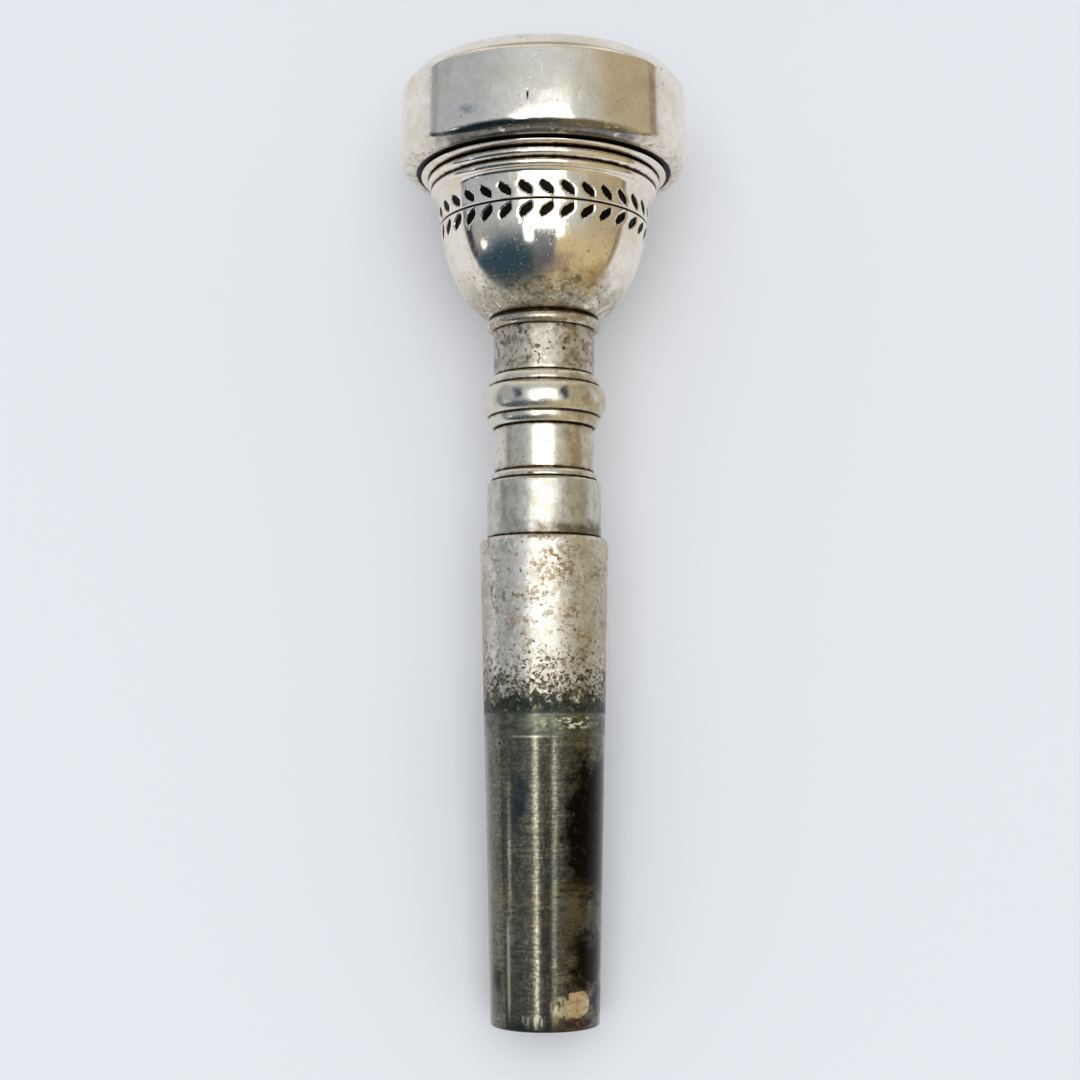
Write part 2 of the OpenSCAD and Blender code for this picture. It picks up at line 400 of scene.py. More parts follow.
def turned_piece_tree(laurel_band):
    """Turns an outline round the bore, cuts the threads along a helix and engraves the band."""
    wire, given, result = new_group(
        "turned_piece",
        "GeometryNodeTree",
        {"Outline": "Geometry", "Outline Points": "Int", "Steps Round": "Int",
         "Thread Pitch": "Float", "Thread Depth": "Float", "Leaf Pairs": "Int",
         "Band Line": "Float", "Band Reach": "Float", "Leaf Depth": "Float", "Finish": "Material"},
        {"Piece": "Geometry"},
    )

    def whole(operation, a, b):
        made = wire.node("FunctionNodeIntegerMath", {0: a, 1: b}, operation=operation)
        return made.outputs[0]

    def sampled(field, data_type):
        made = wire.node(
            "GeometryNodeSampleIndex",
            {"Geometry": given["Outline"], "Value": field, "Index": outline_index},
            data_type=data_type,
        )
        return made.outputs[0]

    rows = whole("ADD", given["Outline Points"], 1)
    columns = whole("ADD", given["Steps Round"], 1)
    grid = wire.node("GeometryNodeMeshGrid", {"Vertices X": columns, "Vertices Y": rows})
    index = wire.node("GeometryNodeInputIndex").outputs[0]
    column = whole("DIVIDE_FLOOR", index, rows)
    outline_index = whole("MODULO", whole("MODULO", index, rows), given["Outline Points"])
    turn = wire.calc("DIVIDE", column, given["Steps Round"])
    angle = wire.calc("MULTIPLY", turn, math.tau)

    at = wire.node("ShaderNodeSeparateXYZ",
                   {0: sampled(wire.node("GeometryNodeInputPosition").outputs[0], "FLOAT_VECTOR")})
    radius, along = at.outputs[0], at.outputs[1]
    tags = {}
    for name in ("hollow", "thread", "inside"):
        named = wire.node("GeometryNodeInputNamedAttribute", {"Name": name}, data_type="FLOAT")
        tags[name] = sampled(named.outputs[0], "FLOAT")

    turns_up = wire.calc("SUBTRACT", wire.calc("DIVIDE", along, given["Thread Pitch"]), turn)
    wave = wire.calc("PINGPONG", wire.calc("MULTIPLY", turns_up, 2.0), 1.0)
    root = wire.calc("MULTIPLY_ADD", wave, 1.3, -0.15, clamp=True)
    thread_cut = wire.calc("MULTIPLY", wire.calc("MULTIPLY", root, tags["thread"]), given["Thread Depth"])

    band = wire.use(
        laurel_band, Turn=turn, Along=along, Leaf_Pairs=given["Leaf Pairs"],
        Line=given["Band Line"], Reach=given["Band Reach"],
    )["Cut"]
    on_skin = wire.calc("SUBTRACT", 1.0, tags["inside"])
    engraved = wire.calc("MULTIPLY", wire.calc("MULTIPLY", band, on_skin),
                         wire.calc("GREATER_THAN", given["Leaf Depth"], 0.0))
    tags["engraved"] = engraved
    leaf_cut = wire.calc("MULTIPLY", engraved, given["Leaf Depth"])
    cut_radius = wire.calc("SUBTRACT", wire.calc("SUBTRACT", radius, thread_cut), leaf_cut)

    place = wire.node(
        "ShaderNodeCombineXYZ",
        {0: wire.calc("MULTIPLY", cut_radius, wire.calc("SINE", angle)), 1: along,
         2: wire.calc("MULTIPLY", cut_radius, wire.calc("COSINE", angle))},
    )
    solid = grid.outputs["Mesh"]
    for name, value in tags.items():
        solid = wire.node("GeometryNodeStoreNamedAttribute",
                          {"Geometry": solid, "Name": name, "Value": value},
                          data_type="FLOAT", domain="POINT").outputs[0]
    solid = wire.node("GeometryNodeSetPosition",
                      {"Geometry": solid, "Position": place.outputs[0]}).outputs[0]
    solid = wire.node("GeometryNodeMergeByDistance",
                      {"Geometry": solid, "Distance": 0.001 * MM}).outputs[0]
    solid = wire.node("GeometryNodeSetMaterial",
                      {"Geometry": solid, "Material": given["Finish"]}).outputs[0]
    solid = wire.node("GeometryNodeRealizeInstances", {"Geometry": solid}).outputs[0]
    wire.feed(result["Piece"], solid)
    return wire.tree


def turned(name, sections, tree, finish, steps, **sizes):
    """A finished turned piece, as a plain mesh with its place in its vertices."""
    rows = tagged(sections)
    mesh = bpy.data.meshes.new(name + "_outline")
    places = [(r * MM, y * MM, 0) for r, y, *_ in rows]
    mesh.from_pydata(places, [], [])
    for column, tag in enumerate(("hollow", "thread", "inside"), start=2):
        values = mesh.attributes.new(tag, "FLOAT", "POINT")
        values.data.foreach_set("value", [row[column] for row in rows])
    piece = bpy.data.objects.new(name, mesh)
    bpy.context.scene.collection.objects.link(piece)

    modifier = piece.modifiers.new("lathe", "NODES")
    modifier.node_group = tree
    given = {
        "Outline Points": len(rows), "Steps Round": steps, "Finish": finish,
        "Thread Pitch": THREAD_PITCH * MM, "Thread Depth": THREAD_DEPTH * MM,
        "Leaf Pairs": 1, "Band Line": 0.0, "Band Reach": 1.0, "Leaf Depth": 0.0,
    }
    given.update(sizes)
    for item in tree.interface.items_tree:
        if item.in_out == "INPUT" and item.name in given:
            modifier[item.identifier] = given[item.name]

    depsgraph = bpy.context.evaluated_depsgraph_get()
    solid = bpy.data.meshes.new_from_object(piece.evaluated_get(depsgraph), depsgraph=depsgraph)
    piece.modifiers.clear()
    piece.data = solid
    solid.name = name
    bpy.data.meshes.remove(mesh)
    solid.shade_smooth()
    solid.set_sharp_from_angle(angle=math.radians(40))
    return piece


# ---------------------------------------------------------------- colours of metal and dirt


def tone(code):
    """A colour from its six hexadecimal digits."""
    parts = [int(code[i : i + 2], 16) / 255 for i in (0, 2, 4)]
    linear = [p / 12.92 if p <= 0.04045 else ((p + 0.055) / 1.055) ** 2.4 for p in parts]
    return (*linear, 1.0)


SILVER = tone("F3EADD")
SATIN_SILVER = tone("DDD7C8")
YELLOWED_SILVER = tone("CDBE97")
FROSTED_SILVER = tone("DAD4C8")
BROWN_TARNISH = tone("80694A")
FILM_BLACK = tone("171513")
BLACK_TARNISH = tone("1E1B18")
GROOVE_BLACK = tone("171512")
BRASS = tone("D3AE6A")
VERDIGRIS = tone("1B241C")
CRUST = tone("C9C69F")
RUST = tone("7E4A26")
SHEET_WHITE = tone("E7E9EC")

# ---------------------------------------------------------------- shared surface effects


def place_group():
    """Where a point is on a turned piece: in mm, along the bore, and round it in degrees."""
    wire, _, result = new_group(
        "place_on_piece", "ShaderNodeTree", {},
        {"Point": "Vector", "Along": "Float", "Angle": "Float"},
    )
    metres = wire.node("ShaderNodeTexCoord").outputs["Object"]
    point = wire.node("ShaderNodeVectorMath", {0: metres, "Scale": 1 / MM}, operation="SCALE")
    parts = wire.node("ShaderNodeSeparateXYZ", {0: point.outputs[0]}).outputs
    angle = wire.calc("DEGREES", wire.calc("ARCTAN2", parts[0], parts[2]))
    wire.feed(result["Point"], point.outputs[0])
    wire.feed(result["Along"], parts[1])
    wire.feed(result["Angle"], angle)
    return wire.tree


def mottle_group():
    """Random patches: the stretch sets their size along x, y and z, in patches per mm."""
    wire, given, result = new_group(
        "mottle", "ShaderNodeTree",
        {"Point": "Vector", "Stretch": "Vector", "Shift": "Vector", "Detail": "Float",
         "Low": "Float", "High": "Float"},
        {"Mask": "Float", "Value": "Float"},
    )
    spread = wire.node("ShaderNodeVectorMath",
                       {0: given["Point"], 1: given["Stretch"], 2: given["Shift"]},
                       operation="MULTIPLY_ADD")
    noise = wire.node("ShaderNodeTexNoise",
                      {"Vector": spread.outputs[0], "Scale": 1.0, "Detail": given["Detail"],
                       "Roughness": 0.62}).outputs[0]
    wire.feed(result["Value"], noise)
    wire.feed(result["Mask"], wire.rise(noise, given["Low"], given["High"]))
    return wire.tree


def stain_or_painted_light_group():
    """One stained patch, bare place, or painted reflection or shade at an angle and a distance along, with a
    ragged edge.
    """
    wire, given, result = new_group(
        "stain_or_painted_light", "ShaderNodeTree",
        {"Wander": "Float", "Along": "Float", "Angle": "Float", "Mid Along": "Float",
         "Mid Angle": "Float", "Half Length": "Float", "Half Width": "Float",
         "Edge": "Float", "Ragged": "Float"},
        {"Mask": "Float"},
    )
    turned_by = wire.calc("SUBTRACT", given["Angle"], given["Mid Angle"])
    turned_by = wire.calc("WRAP", turned_by, 180.0, -180.0)
    dx = wire.calc("DIVIDE", turned_by, given["Half Width"])
    dy = wire.calc("DIVIDE", wire.calc("SUBTRACT", given["Along"], given["Mid Along"]), given["Half Length"])
    powers = [wire.calc("POWER", wire.calc("ABSOLUTE", d), 3.0) for d in (dx, dy)]
    far = wire.calc("POWER", wire.calc("ADD", *powers), 1 / 3)
    moved = wire.calc("MULTIPLY", wire.calc("SUBTRACT", given["Wander"], 0.5), given["Ragged"])
    inside = wire.calc("SUBTRACT", 1.0, wire.calc("ADD", far, moved))
    wire.feed(result["Mask"], wire.calc("DIVIDE", inside, given["Edge"], clamp=True))
    return wire.tree


def scratch_group():
    """Fine straight scratches from handling, in two directions."""
    wire, given, result = new_group(
        "scratches", "ShaderNodeTree", {"Point": "Vector", "Share": "Float"}, {"Mask": "Float"}
    )
    marks = []
    for turn, shift in ((0.6, 1.7), (-0.9, 8.3), (1.35, 4.4)):
        turned_point = wire.node("ShaderNodeMapping",
                                 {"Vector": given["Point"], "Rotation": (turn, turn, turn / 2),
                                  "Location": (shift, 0.0, 0.0), "Scale": (4.0, 0.16, 4.0)},
                                 vector_type="POINT")
        noise = wire.node("ShaderNodeTexNoise", {"Vector": turned_point.outputs[0], "Scale": 1.0,
                                                 "Detail": 1.0}).outputs[0]
        off = wire.calc("ABSOLUTE", wire.calc("SUBTRACT", noise, 0.5))
        thin = wire.calc("SUBTRACT", 1.0, wire.rise(off, 0.0, 0.012))
        kept = wire.use(MOTTLE, Point=given["Point"], Stretch=(0.35, 0.35, 0.35),
                        Shift=(shift, shift, shift), Detail=1.0, Low=0.5, High=0.62)["Mask"]
        marks.append(wire.calc("MULTIPLY", thin, kept))
    total = wire.calc("MAXIMUM", wire.calc("MAXIMUM", marks[0], marks[1]), marks[2])
    wire.feed(result["Mask"], wire.calc("MULTIPLY", total, given["Share"]))
    return wire.tree


PLACE = place_group()
MOTTLE = mottle_group()
STAIN_OR_PAINTED_LIGHT = stain_or_painted_light_group()
SCRATCHES = scratch_group()


class Finish:
    """The layers of one surface, laid one over the other from the metal up."""

    def __init__(self, name, colour, roughness):
        self.material = bpy.data.materials.new(name)
        self.material.use_nodes = True
        self.material.node_tree.nodes.clear()
        self.wire = Wiring(self.material.node_tree)
        here = self.wire.use(PLACE)
        self.point, self.along, self.angle = here["Point"], here["Along"], here["Angle"]
        self.colour, self.roughness, self.metal = colour, roughness, 1.0
        self.height, self.coat = 0.0, 0.0
        self.wander = self.grain(0.9, shift=3.1)

    def tag(self, name):
        """A value kept on the piece's own points."""
        return self.wire.node("ShaderNodeAttribute", attribute_name=name).outputs["Fac"]

    def noise(self, per_mm, low, high, shift, detail):
        """The mottle group: per_mm is one number, or one for each direction."""
        stretch = per_mm if isinstance(per_mm, tuple) else (per_mm,) * 3
        return self.wire.use(MOTTLE, Point=self.point, Stretch=stretch, Shift=(shift * 7.3,) * 3,
                             Detail=detail, Low=low, High=high)

    def mottled(self, per_mm, low, high, shift=0.0, detail=3.0):
        """Random patches, so many to the mm, rising from low to high."""
        return self.noise(per_mm, low, high, shift, detail)["Mask"]

    def grain(self, per_mm, shift=0.0, detail=3.0):
        """A random value round a half, so many swings to the mm."""
        return self.noise(per_mm, 0.0, 1.0, shift, detail)["Value"]

    def stain_or_painted_light(self, along, angle, edge=0.3, ragged=1.2):
        """One patch between two distances along and two angles."""
        return self.wire.use(
            STAIN_OR_PAINTED_LIGHT, Wander=self.wander, Along=self.along, Angle=self.angle,
            Mid_Along=sum(along) / 2, Half_Length=abs(along[1] - along[0]) / 2,
            Mid_Angle=sum(angle) / 2, Half_Width=abs(angle[1] - angle[0]) / 2,
            Edge=edge, Ragged=ragged,
        )["Mask"]

    def belt(self, low, high, soft=0.5, ragged=0.0):
        """All the way round between two distances along, with ends that wander a little."""
        along = self.along
        if ragged:
            along = self.wire.calc("MULTIPLY_ADD", self.wander, ragged, along)
            low, high = low + ragged / 2, high + ragged / 2
        start = self.wire.rise(along, low - soft, low + soft)
        stop = self.wire.rise(along, high + soft, high - soft)
        return self.both(start, stop)

    def both(self, *masks):
        """Where all the masks meet; a number makes them weaker."""
        met = masks[0]
        for mask in masks[1:]:
            met = self.wire.calc("MULTIPLY", met, mask)
        return met

    def thickening(self, crowd, share, per_mm, shift, *masks):
        """Specks that stand closer together as the crowd value rises from 0 to 1."""
        value = self.wire.calc("MULTIPLY_ADD", crowd, share, self.grain(per_mm, shift))
        return self.both(self.wire.rise(value, 0.66, 0.72), *masks)

    def lay(self, mask, colour=None, roughness=None, metal=None, height=None, coat=None):
        """Lays one more layer: what it gives replaces what is below it, and its height adds up."""
        if colour is not None:
            self.colour = self.wire.colour_mix(mask, self.colour, colour)
        if roughness is not None:
            self.roughness = self.wire.number_mix(mask, self.roughness, roughness)
        if metal is not None:
            self.metal = self.wire.number_mix(mask, self.metal, metal)
        if height is not None:
            self.height = self.wire.calc("MULTIPLY_ADD", mask, height, self.height)
        if coat is not None:
            self.coat = self.wire.number_mix(mask, self.coat, coat)

    def stains_or_painted_light(self, rows, within=1.0):
        """Lays stained patches, painted reflections and painted shade one by one: each row is where along,
        between which angles, how soft and how ragged the edge is, how strong the patch is, and its colour
        and roughness."""
        for along, angle, edge, ragged, share, colour, roughness in rows:
            mask = self.both(self.stain_or_painted_light(along, angle, edge, ragged), within, share)
            self.lay(mask, tone(colour), roughness)

    def patches(self, where, rows):
        """Lays random patches inside a mask: each row is how many there are to the mm, the values
        between which they rise, a shift, their detail and strength, and their colour and roughness."""
        for per_mm, low, high, shift, detail, share, colour, roughness in rows:
            mask = self.both(where, self.mottled(per_mm, low, high, shift, detail), share)
            self.lay(mask, tone(colour), roughness)

    def done(self):
        """Joins the layers to the shader and returns the material."""
        bump = self.wire.node("ShaderNodeBump", {"Height": self.height, "Distance": MM, "Strength": 1.0})
        shader = self.wire.node(
            "ShaderNodeBsdfPrincipled",
            {"Base Color": self.colour, "Roughness": self.roughness, "Metallic": self.metal,
             "Normal": bump.outputs[0], "Coat Weight": self.coat, "Coat Roughness": 0.1,
             "Coat IOR": 1.5},
        )
        self.wire.node("ShaderNodeOutputMaterial", {"Surface": shader.outputs[0]})
        return self.material


def age_of_silver(finish, lines, scratches):
    """What all the plated skin shares: turning lines, faint clouds, specks and scratches."""
    turning = finish.grain((0.12, 9.0, 0.12), shift=1.0, detail=2.0)
    finish.lay(turning, height=lines)
    clouds = finish.mottled(0.35, 0.42, 0.72, shift=2.0)
    finish.lay(finish.both(clouds, 0.4), YELLOWED_SILVER, 0.24)
    specks = finish.mottled(2.6, 0.68, 0.72, shift=5.0, detail=2.0)
    finish.lay(finish.both(specks, 0.8), BROWN_TARNISH, 0.45, height=-0.01)
    marks = finish.wire.use(SCRATCHES, Point=finish.point, Share=scratches)["Mask"]
    finish.lay(marks, roughness=0.4, height=-0.004)


def dirt_in_hollows(finish, low, high, where=1.0):
    """Black tarnish in the grooves, breaking up towards the open metal."""
    broken = finish.wire.calc("MULTIPLY_ADD", finish.grain(1.6, shift=7.0), 0.4, finish.tag("hollow"))
    low, high = low + 0.2, high + 0.2
    finish.lay(finish.both(finish.wire.rise(broken, low - 0.12, high - 0.1), where), BROWN_TARNISH, 0.35)
    finish.lay(finish.both(finish.wire.rise(broken, low, high), where), GROOVE_BLACK, 0.5)


def bare_inside(finish, colour, roughness):
    """The bore and the threads, which handling never polished."""
    finish.lay(finish.tag("inside"), colour, roughness)
    thread = finish.wire.calc("ABSOLUTE", finish.tag("thread"))
    finish.lay(finish.wire.rise(thread, 0.0, 0.4), BRASS, 0.32)


# ---------------------------------------------------------------- the three finishes


def rim_finish():
    """Bright plating, worn smooth by the player, dull in the groove below it, with a painted dark reflection
    below.
    """
    finish = Finish("rim_silver", SILVER, 0.1)
    age_of_silver(finish, 0.0006, 0.5)
    haze = finish.mottled(0.9, 0.4, 0.75, shift=3.0)
    finish.lay(finish.both(haze, 0.6), SATIN_SILVER, 0.25)
    under = finish.belt(RIM_JOINT - 1, RIM_JOINT + 0.5, 0.5)
    finish.lay(finish.both(under, finish.mottled(1.1, 0.4, 0.6, shift=4.0), 0.3), BROWN_TARNISH, 0.2)
    finish.lay(finish.both(under, finish.mottled(1.9, 0.58, 0.66, shift=9.0), 0.6), BLACK_TARNISH, 0.3)
    finish.stains_or_painted_light([((79.6, 80.6), (-36.0, -25.0), 0.9, 2.0, 0.6, "4E7F7E", 0.2)])
    # Painted reflection: a blue-black band round the rim's lower rounding, where dark surroundings would be
    # mirrored, with pale flecks in it as painted glints.
    painted_reflection_band = finish.stain_or_painted_light((77.3, 78.9), (-52.0, 48.0), edge=0.3, ragged=0.4)
    finish.lay(finish.both(painted_reflection_band, 0.75), tone("1A212C"), 0.14)
    flecks = finish.mottled((0.9, 2.4, 0.9), 0.6, 0.68, shift=36.0)
    finish.lay(finish.both(painted_reflection_band, flecks), SATIN_SILVER, 0.2)
    nick = finish.stain_or_painted_light((80.3, 81.3), (-6.4, -5.6), edge=0.6, ragged=0.6)
    finish.lay(nick, BLACK_TARNISH, 0.5, height=-0.05)
    dirt_in_hollows(finish, 0.5, 0.9)
    bare_inside(finish, SATIN_SILVER, 0.3)
    return finish.done()


def cup_finish():
    """Polished plating with an engraved band, dull and freckled towards the foot, with a painted pinkish
    reflection on its flank.
    """
    finish = Finish("cup_silver", SILVER, 0.1)
    age_of_silver(finish, 0.0004, 0.35)
    foot = finish.wire.rise(finish.along, 68.2, 64.4)
    finish.patches(foot, [(0.7, 0.3, 0.56, 6.0, 3.0, 0.8, "A59C86", 0.36)])
    near_foot = finish.wire.rise(finish.along, 68.2, 67.2)
    finish.lay(finish.thickening(foot, 0.13, 2.4, 8.0, near_foot, 0.45), BROWN_TARNISH, 0.4)
    black_specks = finish.thickening(foot, 0.06, 3.4, 4.0, near_foot, 0.8)
    finish.lay(black_specks, BLACK_TARNISH, 0.45, height=-0.008)
    finish.stains_or_painted_light([
        # The first row is a painted reflection, a pinkish-purple patch on the flank; the second makes the
        # flank gold-tan on the right.
        ((66.2, 68.8), (-10.0, 26.0), 0.8, 2.2, 0.5, "8F7C84", 0.22),
        ((64.8, 68.2), (22.0, 50.0), 0.8, 2.0, 0.6, "C2A260", 0.25),
    ])
    freckled = finish.stain_or_painted_light((63.6, 67.4), (-60.0, 62.0), edge=0.9, ragged=2.6)
    finish.patches(freckled, [((1.5, 2.0, 1.5), 0.46, 0.6, 37.0, 5.0, 0.75, "59523F", 0.35)])
    dirt_in_hollows(finish, 0.12, 0.42, where=finish.wire.rise(finish.along, 66.0, 67.0))
    dirt_in_hollows(finish, 0.66, 1.1, where=finish.wire.rise(finish.along, 67.0, 66.0))
    finish.lay(finish.wire.rise(finish.tag("engraved"), 0.2, 0.7), GROOVE_BLACK, 0.5)
    bare_inside(finish, SATIN_SILVER, 0.22)
    return finish.done()


def neck_layers(finish):
    """The neck, the waist and the collar: satin, browned on one side and between the rings, with painted
    dark reflections on the bead.
    """
    neck = finish.belt(HIGH_RING_HIGH + 0.4, NECK_JOINT + 1, 0.3)
    finish.lay(neck, tone("C9C1B2"), 0.56)
    finish.patches(neck, [
        (0.9, 0.47, 0.62, 11.0, 3.0, 0.8, "8E8672", 0.42),
        (1.8, 0.56, 0.64, 32.0, 3.0, 0.5, "DAD3C3", 0.36),
        (1.6, 0.52, 0.62, 45.0, 3.0, 0.6, "7F7558", 0.42),
    ])
    finish.lay(finish.thickening(neck, 0.09, 1.9, 12.0, neck), tone("5E5240"), 0.4)
    browned = finish.stain_or_painted_light((44.0, 63.5), (14.0, 96.0), edge=0.7, ragged=2.4)
    finish.patches(browned, [(0.9, 0.3, 0.6, 13.0, 3.0, 0.65, "9C8A60", 0.34)])
    collar = finish.belt(TAPER_LEN, THIN_RING_LOW, 0.2)
    finish.lay(finish.both(collar, 0.9), tone("D1CDC3"), 0.36)
    finish.patches(collar, [((1.2, 0.7, 1.2), 0.42, 0.62, 14.0, 3.0, 0.6, "A49C89", 0.34)])
    # Painted reflections: two dark blue spots on the bead, one on each side of where its highlight falls.
    finish.stains_or_painted_light([
        ((55.4, 56.8), (-31.0, -17.0), 0.7, 1.6, 0.85, "2A3340", 0.22),
        ((55.4, 56.8), (13.0, 25.0), 0.7, 1.6, 0.85, "2A3340", 0.22),
    ])
    waist_and_collar = finish.belt(TAPER_LEN, LOW_RING_LOW, 0.2)
    finish.patches(waist_and_collar, [((2.0, 1.4, 2.0), 0.5, 0.64, 38.0, 5.0, 0.5, "B0A898", 0.38)])
    finish.stains_or_painted_light([((42.8, 44.9), (-40.0, 120.0), 0.7, 2.0, 0.85, "5E533C", 0.42)])
    for along, angle in (((48.7, 49.2), (-20.0, -11.0)), ((43.2, 43.7), (-15.0, -8.0))):
        finish.lay(finish.stain_or_painted_light(along, angle, edge=0.6, ragged=1.5), RUST, 0.7, metal=0.2)


def upper_taper_layers(finish):
    """The part of the taper that stays outside the instrument: frosted, stained and pitted, with painted
    shade at its sides.
    """
    upper = finish.belt(WATERLINE, TAPER_LEN - 0.1, 0.15)
    finish.lay(upper, FROSTED_SILVER, 0.42)
    finish.patches(upper, [
        (0.6, 0.45, 0.66, 15.0, 3.0, 0.6, "B3AB9A", 0.46),
        (0.45, 0.5, 0.66, 16.0, 3.0, 0.4, "CDBE97", 0.44),
        ((1.6, 1.1, 1.6), 0.52, 0.64, 33.0, 5.0, 0.7, "F2EFE8", 0.38),
    ])
    freckles = finish.mottled((2.4, 1.9, 2.4), 0.58, 0.66, shift=34.0, detail=5.0)
    finish.lay(finish.both(upper, freckles, 0.6), tone("8C7A58"), 0.5, height=-0.006)
    clusters = finish.both(finish.mottled(0.55, 0.5, 0.6, shift=39.0),
                           finish.mottled((1.8, 2.2, 1.8), 0.46, 0.58, shift=40.0, detail=5.0))
    finish.lay(finish.both(upper, clusters, 0.75), tone("8B7750"), 0.48, height=-0.005)
    # Painted shade: the taper is made darker at its left and right sides as seen from above, and round its
    # far side.
    painted_shade_sides = [
        ((26.0, 44.5), (24.0, 100.0), 0.7, 1.6, 0.5, "968867", 0.42),
        ((26.0, 44.5), (-110.0, -52.0), 0.6, 1.2, 0.5, "968B74", 0.42),
        ((26.0, 43.0), (100.0, 260.0), 1.0, 2.0, 0.5, "8F8264", 0.4),
    ]
    finish.stains_or_painted_light(painted_shade_sides, within=upper)
    specked = finish.stain_or_painted_light((38.6, 43.0), (-12.0, 32.0), edge=0.8, ragged=2.0)
    finish.patches(specked, [((1.9, 2.4, 1.9), 0.5, 0.58, 17.0, 3.0, 1.0, "8F7440", 0.5)])
    pits = finish.both(upper, finish.mottled(2.0, 0.67, 0.71, shift=18.0))
    finish.lay(pits, BLACK_TARNISH, 0.6, height=-0.02)
    finish.stains_or_painted_light([((34.8, 36.8), (-38.0, -17.0), 0.8, 1.6, 0.5, "C49C86", 0.4)])

    low = finish.both(finish.wire.rise(finish.along, 36.0, 28.4), upper)
    brown_crust = finish.thickening(low, 0.17, 1.7, 19.0, upper, 0.8)
    finish.lay(brown_crust, tone("5F543F"), 0.5)
    black_crust = finish.thickening(low, 0.17, 3.0, 20.0, upper, 0.9)
    finish.lay(black_crust, tone("24261E"), 0.5, height=-0.012)
    dimmed = finish.both(upper, finish.wire.rise(finish.along, 31.5, 28.2))
    finish.patches(dimmed, [(0.9, 0.3, 0.6, 44.0, 3.0, 0.7, "6A6552", 0.45)])
    growth = finish.belt(WATERLINE - 0.1, WATERLINE + 1.2, 0.3, ragged=5.0)
    thick = finish.both(growth, finish.mottled(2.2, 0.27, 0.43, shift=21.0), 0.95)
    finish.lay(thick, VERDIGRIS, 0.4, metal=0.7)
    finish.patches(growth, [(2.6, 0.54, 0.64, 35.0, 3.0, 0.6, "47543F", 0.6)])


def lower_taper_layers(finish):
    """The part of the taper that sits in the instrument: a dark film with lines of wear, and a painted
    highlight streak.
    """
    lower = finish.wire.rise(finish.along, WATERLINE + 0.1, WATERLINE - 0.05)
    finish.lay(lower, tone("736F5D"), 0.17, coat=0.3)
    finish.patches(lower, [
        ((0.22, 3.6, 0.22), 0.45, 0.62, 22.0, 4.0, 0.65, "525045", 0.18),
        ((0.14, 7.5, 0.14), 0.52, 0.64, 23.0, 3.0, 0.3, "908C78", 0.19),
        ((0.5, 0.22, 0.5), 0.45, 0.6, 24.0, 3.0, 0.6, "3E3F35", 0.18),
        ((2.2, 3.6, 2.2), 0.44, 0.56, 41.0, 5.0, 0.6, "3D3B32", 0.2),
        ((2.6, 5.0, 2.6), 0.54, 0.64, 42.0, 5.0, 0.3, "949182", 0.2),
    ])
    band = finish.belt(WATERLINE - 2.0, WATERLINE, 0.15)
    finish.lay(finish.both(band, 0.8), tone("6C6E5F"), 0.36)
    finish.patches(band, [((0.8, 1.6, 0.8), 0.4, 0.6, 25.0, 3.0, 0.85, "45473A", 0.4)])

    black_film = (
        ((0.0, 26.5), (4.0, 108.0), 1.0, 1.6, 0.6),
        ((10.0, 24.6), (12.0, 104.0), 0.3, 1.0, 1.0),
        ((2.8, 6.0), (-74.0, -43.0), 0.6, 1.6, 0.8),
        ((2.6, 9.4), (20.0, 96.0), 0.5, 1.8, 0.95),
        ((3.0, 14.0), (98.0, 178.0), 0.8, 2.0, 0.8),
        ((14.0, 25.0), (-170.0, -105.0), 0.8, 2.0, 0.8),
    )
    for *place, share in black_film:
        finish.lay(finish.both(finish.stain_or_painted_light(*place), share), FILM_BLACK, 0.18, coat=0.0)
    finish.stains_or_painted_light([((16.4, 23.0), (-38.0, -12.0), 0.8, 1.8, 0.85, "1D2A30", 0.18)])
    pale = finish.both(finish.stain_or_painted_light((2.6, 13.0), (-66.0, -14.0), edge=1.0, ragged=2.0), lower)
    finish.patches(pale, [((0.9, 3.0, 0.9), 0.4, 0.58, 46.0, 3.0, 0.7, "8F8B76", 0.3)])
    olive = finish.stain_or_painted_light((8.6, 13.2), (-100.0, 100.0), edge=1.0, ragged=1.6)
    finish.patches(olive, [((0.4, 1.6, 0.4), 0.4, 0.6, 26.0, 3.0, 0.55, "84775A", 0.26)])
    finish.stains_or_painted_light([((0.5, 26.0), (-100.0, -62.0), 0.6, 1.0, 0.45, "98947E", 0.3)])
    right_edge = finish.both(finish.stain_or_painted_light((8.0, 25.5), (60.0, 100.0), edge=0.6, ragged=1.2), lower)
    finish.patches(right_edge, [(1.2, 0.4, 0.6, 27.0, 3.0, 0.6, "3E3229", 0.3)])
    pits = finish.both(lower, finish.mottled(1.9, 0.67, 0.71, shift=28.0))
    finish.lay(pits, BLACK_TARNISH, 0.5, height=-0.01)

    finish.stains_or_painted_light([
        # The first row is a painted highlight: a narrow pale streak down the left of the taper, where a
        # light strip would be mirrored.
        ((0.6, 10.0), (-42.0, -37.0), 0.35, 0.35, 0.65, "CCC4A0", 0.4),
        ((25.35, 25.6), (-42.0, 12.0), 0.8, 1.0, 0.7, "BDBBA6", 0.35),
        ((24.3, 25.5), (-54.0, -42.0), 0.8, 1.0, 0.6, "A5A492", 0.4),
    ])
    pit = finish.stain_or_painted_light((24.65, 25.1), (-49.5, -45.0), edge=0.6, ragged=1.0)
    finish.lay(pit, BLACK_TARNISH, 0.7, height=-0.05)
    flecks = finish.both(finish.stain_or_painted_light((26.0, 27.4), (-8.0, 60.0), edge=0.6, ragged=1.6),
                         finish.mottled((1.2, 2.4, 1.2), 0.5, 0.58, shift=29.0))
    finish.lay(flecks, CRUST, 0.8, metal=0.0, height=0.03)
    line = finish.belt(WATERLINE - 0.1, WATERLINE + 0.12, 0.06)
    finish.lay(finish.both(line, 0.85), tone("22302A"), 0.5, metal=0.5)


